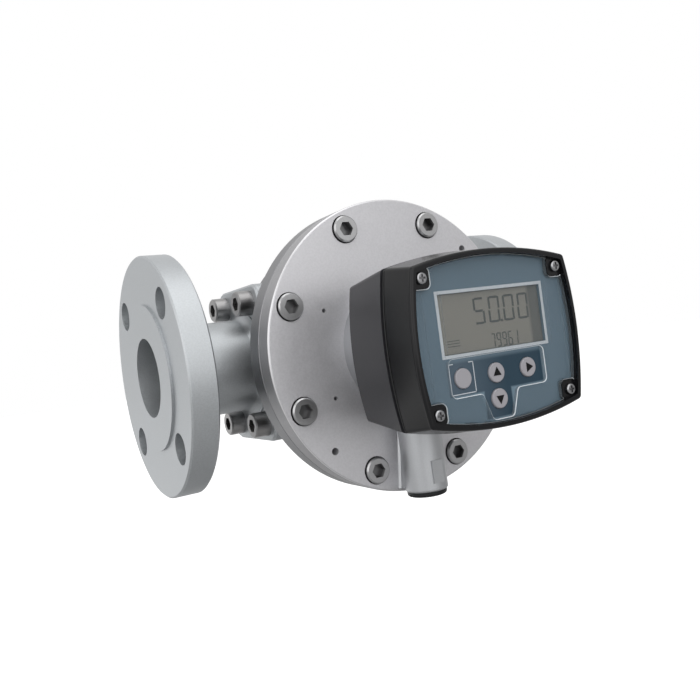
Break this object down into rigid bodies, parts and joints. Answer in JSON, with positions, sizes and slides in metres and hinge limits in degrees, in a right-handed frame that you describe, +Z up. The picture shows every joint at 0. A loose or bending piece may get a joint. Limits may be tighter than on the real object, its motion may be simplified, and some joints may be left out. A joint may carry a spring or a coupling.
{
  "type": "oval gear flow meter",
  "caption": "Flanged in-line flow meter: a round covered chamber with two meshing oval gear rotors, and a boxed readout with a display and push keys.",
  "frame": {"origin": "centre of the inlet flange's raised face, on the pipe's axis", "axes": "+X along the pipe from inlet to outlet, -Y out of the cover and the readout, +Z up"},
  "size_m": [0.2772, 0.2502, 0.183],
  "materials": {
    "body_metal": "satin, machined",
    "cover_metal": "satin, finely turned",
    "spool_metal": "satin, machined",
    "adaptor_metal": "satin",
    "rotor_metal": "machined",
    "shaft_steel": "ground",
    "bright_screw": "bright",
    "bezel_screw": "bright",
    "dark_screw": "dark, oiled",
    "seal_rubber": "matte",
    "rim_rubber": "matte",
    "bush_carbon": "matte",
    "magnet_metal": "plated",
    "plug_black": "matte",
    "housing_plastic": "satin",
    "bezel_plastic": "semi-gloss",
    "face_blue": "printed film",
    "lens_clear": "clear moulded",
    "lcd_grey": "display glass",
    "key_grey": "matte",
    "board_green": "lacquered",
    "part_black": "moulded",
    "cell_wrap": "wrapped",
    "terminal_plastic": "moulded"
  },
  "bodies": {
    "meter": {"meter_body": "body_metal", "meter_cover": "cover_metal", "cover_oring": "seal_rubber", "cover_screws": "bright_screw", "inlet_flange": "spool_metal", "inlet_neck": "spool_metal", "inlet_plate": "spool_metal", "outlet_flange": "spool_metal", "outlet_neck": "spool_metal", "outlet_plate": "spool_metal", "inlet_oring": "seal_rubber", "outlet_oring": "seal_rubber", "inlet_screws": "dark_screw", "outlet_screws": "dark_screw", "rotor_shafts": "shaft_steel", "terminal_adaptor": "adaptor_metal", "adaptor_oring": "seal_rubber", "adaptor_screws": "bright_screw", "adaptor_gasket": "seal_rubber", "conduit_plug": "plug_black", "sensor_board": "board_green", "pickup_sensors": "part_black", "terminal_block": "terminal_plastic", "display_housing": "housing_plastic", "housing_screws": "bright_screw", "bezel_gasket": "rim_rubber", "display_bezel": "bezel_plastic", "bezel_screws": "bezel_screw", "face_plate": "face_blue", "clear_lens": "lens_clear", "lcd_module": "lcd_grey", "circuit_board": "board_green", "key_switches": "part_black", "board_screws": "bright_screw", "battery_holder": "part_black", "battery_cells": "cell_wrap"},
    "upper_gear": {"upper_rotor": "rotor_metal", "upper_bushes": "bush_carbon", "rotor_magnets": "magnet_metal"},
    "lower_gear": {"lower_rotor": "rotor_metal", "lower_bushes": "bush_carbon"},
    "enter_key": {"enter_key": "key_grey"},
    "up_key": {"up_key": "key_grey"},
    "right_key": {"right_key": "key_grey"},
    "down_key": {"down_key": "key_grey"}
  },
  "joints": [
    {"name": "upper_gear_spin", "type": "hinge", "parent": "meter", "child": "upper_gear", "pos_m": [0.1386, 0, 0.029], "axis": [0, 1, 0], "continuous": true},
    {"name": "lower_gear_spin", "type": "hinge", "parent": "meter", "child": "lower_gear", "pos_m": [0.1386, 0, -0.029], "axis": [0, 1, 0], "continuous": true},
    {"name": "enter_press", "type": "slide", "parent": "meter", "child": "enter_key", "axis": [0, 1, 0], "range_m": [0, 0.0008], "stiffness_N_per_m": 1200, "springref_m": -0.0004},
    {"name": "up_press", "type": "slide", "parent": "meter", "child": "up_key", "axis": [0, 1, 0], "range_m": [0, 0.0008], "stiffness_N_per_m": 1200, "springref_m": -0.0004},
    {"name": "right_press", "type": "slide", "parent": "meter", "child": "right_key", "axis": [0, 1, 0], "range_m": [0, 0.0008], "stiffness_N_per_m": 1200, "springref_m": -0.0004},
    {"name": "down_press", "type": "slide", "parent": "meter", "child": "down_key", "axis": [0, 1, 0], "range_m": [0, 0.0008], "stiffness_N_per_m": 1200, "springref_m": -0.0004}
  ],
  "couplings": [
    {"joint": "lower_gear_spin", "follows": "upper_gear_spin", "ratio": -1}
  ]
}
